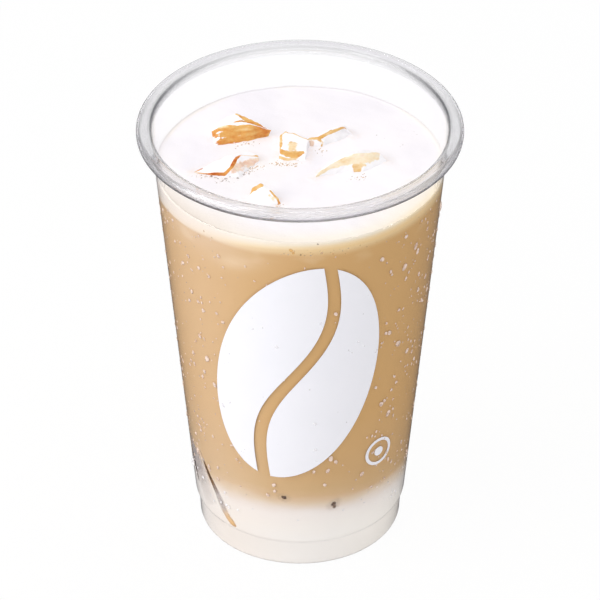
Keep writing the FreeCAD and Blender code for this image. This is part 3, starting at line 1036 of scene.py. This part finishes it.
def domes(name, centres, across, up, out, size, tall, material, slot, long=1.0):
    """Many small domes as one mesh: rings of a squashed sphere on the plane of across and up, tall
    x size high and long times as long as wide, each with a slightly uneven outline. Returns the
    piece and each point's share of the way from its dome's middle to its rim."""
    count, rings, around = len(centres), 4, 10
    lift = np.linspace(0, math.pi / 2, rings, endpoint=False)[None, :, None]
    t = full_turn(around)
    phase = random.uniform(0, 6.28, (2, count, 1))  # about a full turn
    uneven = 1 + 0.16 * np.sin(2 * t + phase[0]) + 0.07 * np.sin(3 * t + phase[1])
    reach = size[:, None, None] * np.cos(lift) * uneven[:, None]
    x, y = reach * np.cos(t), long * reach * np.sin(t)
    z = size[:, None, None] * tall * np.sin(lift) - 0.02 + 0 * x
    ring = x[..., None] * across[:, None, None] + y[..., None] * up[:, None, None]
    ring = ring + z[..., None] * out[:, None, None] + centres[:, None, None]
    tip = centres + (size * tall)[:, None] * out
    base = centres - 0.02 * out
    points = np.concatenate([ring.reshape(count, -1, 3), base[:, None], tip[:, None]], 1)
    starts = np.arange(count)[:, None, None] * (rings * around + 2)
    faces = []
    for sides in (4, 3):
        one = np.array([face for face in capped_faces(rings, around) if len(face) == sides])
        faces += (one + starts).reshape(-1, sides).tolist()
    piece = new_piece(name, points.reshape(-1, 3), faces, material, 60, slot)
    rim = np.append(np.repeat(np.cos(lift.ravel()), around), [1, 0])
    return piece, np.tile(rim, count)


def on_cone(degrees, height, radius):
    """Places on a cone about the axis, with the unit vectors round it, up it and out of it."""
    a = np.radians(degrees) - math.pi / 2
    across = np.stack([-np.sin(a), np.cos(a), np.zeros_like(a)], -1)
    up = round_axis(CONE_SLOPE, a, 1.0)
    up /= np.linalg.norm(up, axis=1)[:, None]
    return round_axis(radius, a, height), across, up, np.cross(across, up)


# The largest drops: degrees from the front, height and radius. The small ones lie thickest at the
# sides.
LARGE_DROPS = np.array([
    (47.1, 121.8, 0.7), (54.4, 115.3, 0.98), (56.4, 112.6, 0.84), (68.0, 104.8, 0.77),
    (34.8, 117.5, 0.77), (48.1, 110.0, 1.05), (59.8, 102.5, 0.7), (67.6, 98.2, 0.77),
    (73.1, 90.8, 0.7), (84.0, 116.0, 1.26), (7.4, 48.1, 0.63), (15.2, 43.7, 0.84),
    (17.8, 42.1, 0.63), (13.9, 38.9, 0.7), (6.8, 39.1, 0.56), (32.9, 34.0, 0.77),
    (12.6, 33.3, 0.56), (76.0, 26.7, 0.84), (42.5, 87.0, 0.77), (57.0, 74.5, 0.84),
    (49.0, 80.5, 1.05), (41.5, 59.5, 0.84), (47.0, 54.0, 0.98), (-65.0, 31.9, 1.05),
    (-54.6, 29.9, 0.7), (-13.3, 33.2, 0.63), (-12.9, 30.8, 0.56), (-16.7, 28.7, 0.56),
    (-84.0, 19.5, 1.4), (-46.5, 75.5, 0.98), (-50.0, 83.0, 0.7), (-43.0, 66.5, 0.77),
    (-38.5, 60.0, 0.7), (-52.5, 99.0, 0.63), (-57.0, 108.0, 0.7), (-46.0, 110.5, 0.63),
    (88.0, 111.0, 0.84), (82.0, 108.5, 0.63), (86.5, 101.0, 0.77), (89.0, 95.5, 0.84),
    (84.0, 92.0, 0.7), (87.5, 84.0, 0.63), (86.0, 70.0, 0.7), (88.0, 52.0, 0.63),
    (-87.0, 112.0, 0.56), (-85.0, 99.0, 0.63), (-88.0, 84.0, 0.56), (-86.0, 66.0, 0.63),
    (-83.0, 50.0, 0.56), (-84.5, 38.0, 0.63), (61.0, 96.0, 0.7), (63.0, 118.0, 0.63),
])
SMALL_DROPS, SMALL_RADIUS = 700, 0.28
side = random.choice([-1, 0, 1], SMALL_DROPS, p=[0.35, 0.26, 0.39])
anywhere = random.uniform(-180, 180, SMALL_DROPS)
at_side = side * np.clip(random.normal(60, 18, SMALL_DROPS), 15, 100)
small_height = random.uniform(16.0, 125.0, SMALL_DROPS)
small_size = np.clip(random.lognormal(math.log(SMALL_RADIUS), 0.45, SMALL_DROPS), 0.1, 0.6)
drop_turn = np.append(np.where(side == 0, anywhere, at_side), LARGE_DROPS[:, 0])
drop_height = np.append(small_height, LARGE_DROPS[:, 1])
drop_size = np.append(small_size, LARGE_DROPS[:, 2])
drops, drop_rims = domes(
    "condensation_drops", *on_cone(drop_turn, drop_height, outside_radius(drop_height)),
    drop_size, 0.36, DROPS, "clear_plastic", long=1.2,
)
bean_x = np.radians(drop_turn) * outside_radius(drop_height) - BEAN_CENTRE[0]
along_bean, up_bean = turned_flat(bean_x, drop_height - BEAN_CENTRE[1], -BEAN_TURN)
on_bean = (along_bean / BEAN_HALF_WIDTH) ** 2 + (up_bean / BEAN_HALF_HEIGHT) ** 2 < 1
on_bean &= np.abs(along_bean - crease_middle(up_bean)) > CREASE_WIDTH / 2
# Over the print or the milk, the drops' painted highlight colour turns near white.
over_white = np.maximum(on_bean, np.clip((MILK_LEVEL - drop_height) / 4, 0, 1))
set_attributes(drops, over_white=np.repeat(over_white, len(drop_rims) // len(drop_turn)))


def speckle(name, places, across, up, out, size, tone, cover, tall):
    """Flat specks as one mesh, with the tone of each, thinning from its middle to its rim."""
    piece, rim = domes(name, places, across, up, out, size, tall, MARKS, "milk_foam")
    each = len(rim) // len(size)
    cover = np.repeat(cover, each) * (1 - rim**2)
    set_attributes(piece, tone=np.repeat(tone, each), cover=cover)


# Specks against the wall: degrees from the front, height, radius, tone and cover.
WALL_SPECKS = [
    (-8.3, 28.4, 0.9, 0.0, 1.0), (-8.3, 28.4, 2.4, 0.4, 0.16),
    (17.7, 24.8, 1.0, 0.0, 1.0), (17.9, 24.6, 2.8, 0.4, 0.2),
    (-7.6, 28.9, 0.45, 0.1, 0.9), (18.3, 23.6, 0.8, 0.15, 0.8),
]
# Bubbles along the foam's border, by the same numbers.
BORDER_BLOBS = [
    (-3.5, 126.2, 0.75, 0.98, 0.9), (-2.6, 125.2, 0.6, 1.0, 0.8), (-6.2, 124.9, 0.35, 0.75, 0.7),
    (0.3, 124.6, 0.4, 0.25, 0.7), (8.5, 124.9, 0.55, 0.8, 0.7), (13.0, 124.2, 0.45, 0.9, 0.7),
    (56.5, 123.4, 0.9, 0.98, 0.7), (62.0, 121.9, 0.6, 0.95, 0.7), (66.5, 122.6, 0.5, 0.9, 0.7),
    (6.9, 128.4, 0.35, 0.35, 0.6), (-41.0, 126.0, 0.5, 0.75, 0.5), (-37.0, 124.9, 0.4, 0.75, 0.5),
]
border_turn = np.concatenate(
    [random.normal(4, 9, 26), random.normal(22, 6, 14), random.normal(62, 7, 24)]
)
border_height = np.concatenate([random.normal(125.0, 0.9, 40), random.normal(123.2, 1.6, 24)])
# Radius, tone and cover of the small specks, drawn between these.
border_spans = ((0.14, 0.36), (0.6, 1.0), (0.2, 0.7))
border_rest = [random.uniform(*span, len(border_turn)) for span in border_spans]
border_specks = np.stack([border_turn, border_height, *border_rest], -1)
specks = np.concatenate([np.array(WALL_SPECKS + BORDER_BLOBS), border_specks])
speckle(
    "wall_specks", *on_cone(specks[:, 0], specks[:, 1], drink_radius(specks[:, 1])),
    *specks[:, 2:].T, 0.08,
)

# Painted shade of sunk ice that touches the wall: dark and grey strips on the drink that stand in
# for the shadow and refraction of its edges, as paths of degrees from the front, height, half
# width, tone and cover.
SUNK_ICE_SHADE_PATHS = [
    [
        (-62.5, 33.5, 0.3, 0.8, 0.1), (-61.0, 31.5, 0.7, 0.75, 0.6), (-58.7, 29.2, 0.8, 0.2, 0.9),
        (-55.5, 26.2, 0.9, 0.08, 1.0), (-52.6, 23.8, 1.1, 0.3, 0.8), (-49.0, 20.5, 1.6, 0.5, 0.45),
        (-46.3, 17.2, 1.9, 0.5, 0.4), (-44.4, 15.0, 1.6, 0.65, 0.6), (-42.4, 13.3, 1.4, 0.85, 0.8),
        (-39.6, 11.9, 1.4, 0.9, 0.85), (-37.3, 11.0, 0.6, 0.9, 0.3),
    ],
    [
        (-77.5, 28.5, 0.4, 0.3, 0.2), (-76.0, 25.8, 1.0, 0.05, 0.9), (-74.2, 23.2, 1.2, 0.0, 1.0),
        (-72.5, 20.8, 0.8, 0.1, 0.9), (-70.4, 18.0, 0.4, 0.45, 0.3),
    ],
    [
        (-76.0, 34.0, 1.5, 0.5, 0.05), (-73.0, 30.0, 4.0, 0.5, 0.5), (-69.0, 26.5, 5.6, 0.5, 0.6),
        (-65.5, 23.0, 6.0, 0.5, 0.3), (-61.0, 19.0, 5.5, 0.5, 0.12), (-56.0, 14.0, 4.0, 0.5, 0.05),
    ],
]
STREAK_LIFT, STREAK_THICKNESS = 0.05, 0.03


def wall_streak(path, across=9, along=40):
    """A thin strip on the drink along a path of stations: each place lies across the path by its
    share of the half width there, and cover falls off as 1 - share squared."""
    path = np.array(path)
    at = np.linspace(0, len(path) - 1, along)
    degrees, height, half, tone, cover = (
        np.interp(at, np.arange(len(path)), column) for column in path.T
    )
    round_wall = np.radians(degrees) * inside_radius(height)
    run = np.stack([np.gradient(round_wall), np.gradient(height)])
    run /= np.hypot(*run)
    share = np.linspace(-1, 1, across)[:, None]
    x, z = round_wall - run[1] * half * share, height + run[0] * half * share
    a, front = x / inside_radius(height) - math.pi / 2, drink_radius(z) + STREAK_LIFT
    radii = (front, front - STREAK_THICKNESS)
    points = np.concatenate([round_axis(r, a, z).reshape(-1, 3) for r in radii])
    tones, covers = (tone + 0 * share).ravel(), (cover * (1 - share**2)).ravel()
    return points, sheet_faces(across, along), np.tile(tones, 2), np.tile(covers, 2)


streaks = [wall_streak(path) for path in SUNK_ICE_SHADE_PATHS]
# Painted shade: dark and grey strips on the drink that stand in for sunk ice's shadow and refraction.
sunk_ice = new_piece("painted_shade_of_sunk_ice", *join([s[:2] for s in streaks]), MARKS, 60, "milk_foam")
streak_tone, streak_cover = (np.concatenate([s[k] for s in streaks]) for k in (2, 3))
set_attributes(sunk_ice, tone=streak_tone, cover=streak_cover)

# Bubbles and specks on the foam: middle x and y, spread along and across, turn of the patch in
# degrees, count, and the tones they range over.
BUBBLE_PATCHES = [
    (-18.6, -5.6, 4.2, 1.2, 24, 70, 0.2, 0.6),
    (-15.6, -3.0, 3.6, 1.6, 22, 70, 0.5, 0.95),
    (-27.6, -8.0, 4.2, 0.6, -6, 30, 0.25, 0.8),
    (-22.5, -9.4, 3.0, 1.2, 0, 20, 0.3, 0.6),
    (-3.0, -0.6, 2.6, 0.9, 0, 44, 0.75, 1.0),
    (-6.8, -0.6, 1.8, 1.2, -30, 20, 0.65, 0.9),
    (-16.5, 10.2, 4.0, 1.0, 10, 20, 0.5, 0.9),
    (-15.6, -23.5, 1.5, 1.8, 0, 16, 0.65, 0.95),
    (-7.2, -23.4, 1.8, 2.2, 20, 56, 0.7, 1.0),
    (17.6, -7.6, 3.0, 1.6, 10, 26, 0.55, 0.9),
    (6.6, 7.0, 1.6, 1.6, 0, 14, 0.7, 0.95),
    (31.0, 14.0, 6.0, 6.0, 0, 6, 0.5, 0.6),
]


def scatter_bubbles():
    """Places, sizes, tones and covers of the bubbles: turned Gaussian patches on the foam."""
    rows = []
    for x, y, along, wide, degrees, count, low, high in BUBBLE_PATCHES:
        a, b = random.normal(0, 1, (2, count)) * np.array([[along], [wide]]) * 0.6
        a, b = turned_flat(a, b, -math.radians(degrees))
        tone, cover = random.uniform(low, high, count), random.uniform(0.35, 0.9, count)
        size = np.clip(random.lognormal(math.log(0.21), 0.45, count), 0.08, 0.55)
        rows.append(np.stack([x + a, y + b, size, tone, cover], -1))
    return np.concatenate(rows)


bubbles = scatter_bubbles()
bubble_x, bubble_y = bubbles[:, 0], bubbles[:, 1]
bubble_places = np.stack([bubble_x, bubble_y, foam_top(bubble_x, bubble_y)[0]], -1)
flat = [np.tile(v, (len(bubbles), 1)) for v in np.eye(3)]
speckle("foam_bubbles", bubble_places, *flat, *bubbles[:, 2:].T, 0.3)

# ---------------------------------------------------------------- floor, light and camera

FLOOR_SIZE = 6.0
CAMERA_DISTANCE, CAMERA_ELEVATION, CAMERA_TARGET = 1.4, math.radians(34.781), 0.07863
LENS, SENSOR_WIDTH = 274.0, 36.0


def floor():
    """A plain pale floor: white to the camera and through clear plastic, greyer in reflections."""
    material, t = new_material("floor")
    path = t.add("ShaderNodeLightPath")
    colour = t.mix(path.outputs["Is Glossy Ray"], (0.9, 0.9, 0.9, 1), (0.1, 0.1, 0.11, 1))
    shader = t.add("ShaderNodeBsdfDiffuse", {"Color": colour})
    through = path.outputs["Is Transmission Ray"]
    strength = t.sum(t.product(through, 0.08), 1.0)
    glow = t.add("ShaderNodeEmission", {"Color": (1, 1, 1, 1), "Strength": strength})
    seen = t.larger(path.outputs["Is Camera Ray"], through)
    t.surface(t.mix_shaders(t.product(seen, 0.94), shader, glow))
    half = FLOOR_SIZE / 2
    mesh = bpy.data.meshes.new("floor")
    corners = [(-half, -half, 0), (half, -half, 0), (half, half, 0), (-half, half, 0)]
    mesh.from_pydata(corners, [], [(0, 1, 2, 3)])
    mesh.materials.append(material)
    piece = bpy.data.objects.new("floor", mesh)
    bpy.context.collection.objects.link(piece)


def surroundings(level, glossy_level, ceiling_level):
    """World light: white to the camera, and grey in reflections. Through clear plastic it is
    white near the horizon and dark towards the ceiling, which draws the plastic's edges."""
    world = bpy.data.worlds.new("studio")
    bpy.context.scene.world = world
    world.use_nodes = True
    world.node_tree.nodes.clear()
    t = Tree(world.node_tree)
    path = t.add("ShaderNodeLightPath")
    sky = t.add("ShaderNodeTexCoord").outputs["Generated"]
    up = t.add("ShaderNodeSeparateXYZ", {0: sky}).outputs["Z"]
    through = t.span(up, 0.2, 0.5, 1.0, ceiling_level)
    strength = t.blend(path.outputs["Is Glossy Ray"], level, glossy_level)
    strength = t.blend(path.outputs["Is Transmission Ray"], strength, through)
    strength = t.blend(path.outputs["Is Camera Ray"], strength, 1.0)
    light = t.add("ShaderNodeBackground", {"Color": (1, 1, 1, 1), "Strength": strength})
    t.add("ShaderNodeOutputWorld", {"Surface": light.outputs[0]})


def softbox(name, place, width, height, radiance, aim=(0, 0, 0.08)):
    """A rectangular lamp that faces the cup, with its brightness as seen given by radiance."""
    lamp = bpy.data.lights.new(name, "AREA")
    lamp.shape = "RECTANGLE"
    lamp.size, lamp.size_y = width, height
    lamp.energy = radiance * width * height * math.pi
    piece = bpy.data.objects.new(name, lamp)
    piece.location = place
    direction = np.array(aim) - np.array(place)
    yaw = math.atan2(direction[1], direction[0]) - math.pi / 2
    pitch = math.atan2(direction[2], math.hypot(direction[0], direction[1]))
    piece.rotation_euler = (math.pi / 2 + pitch, 0, yaw)
    bpy.context.collection.objects.link(piece)


floor()
surroundings(0.68, 0.12, 0.75)
softbox("left_softbox", (-0.95, -0.45, 0.5), 0.9, 1.3, 2.3)
softbox("top_softbox", (0.1, 0.15, 1.3), 1.2, 1.2, 1.0)
softbox("right_softbox", (0.75, -0.75, 0.15), 0.7, 0.5, 1.1, aim=(0, 0, 0.03))

camera = bpy.data.objects.new("camera", bpy.data.cameras.new("camera"))
camera.data.lens = LENS
camera.data.sensor_width = SENSOR_WIDTH
camera.data.clip_start, camera.data.clip_end = 0.05, 20.0
camera.location = (
    0,
    -CAMERA_DISTANCE * math.cos(CAMERA_ELEVATION),
    CAMERA_TARGET + CAMERA_DISTANCE * math.sin(CAMERA_ELEVATION),
)
camera.rotation_euler = (math.pi / 2 - CAMERA_ELEVATION, 0, 0)
bpy.context.collection.objects.link(camera)
bpy.context.scene.camera = camera
bpy.context.scene.view_settings.view_transform = "Standard"
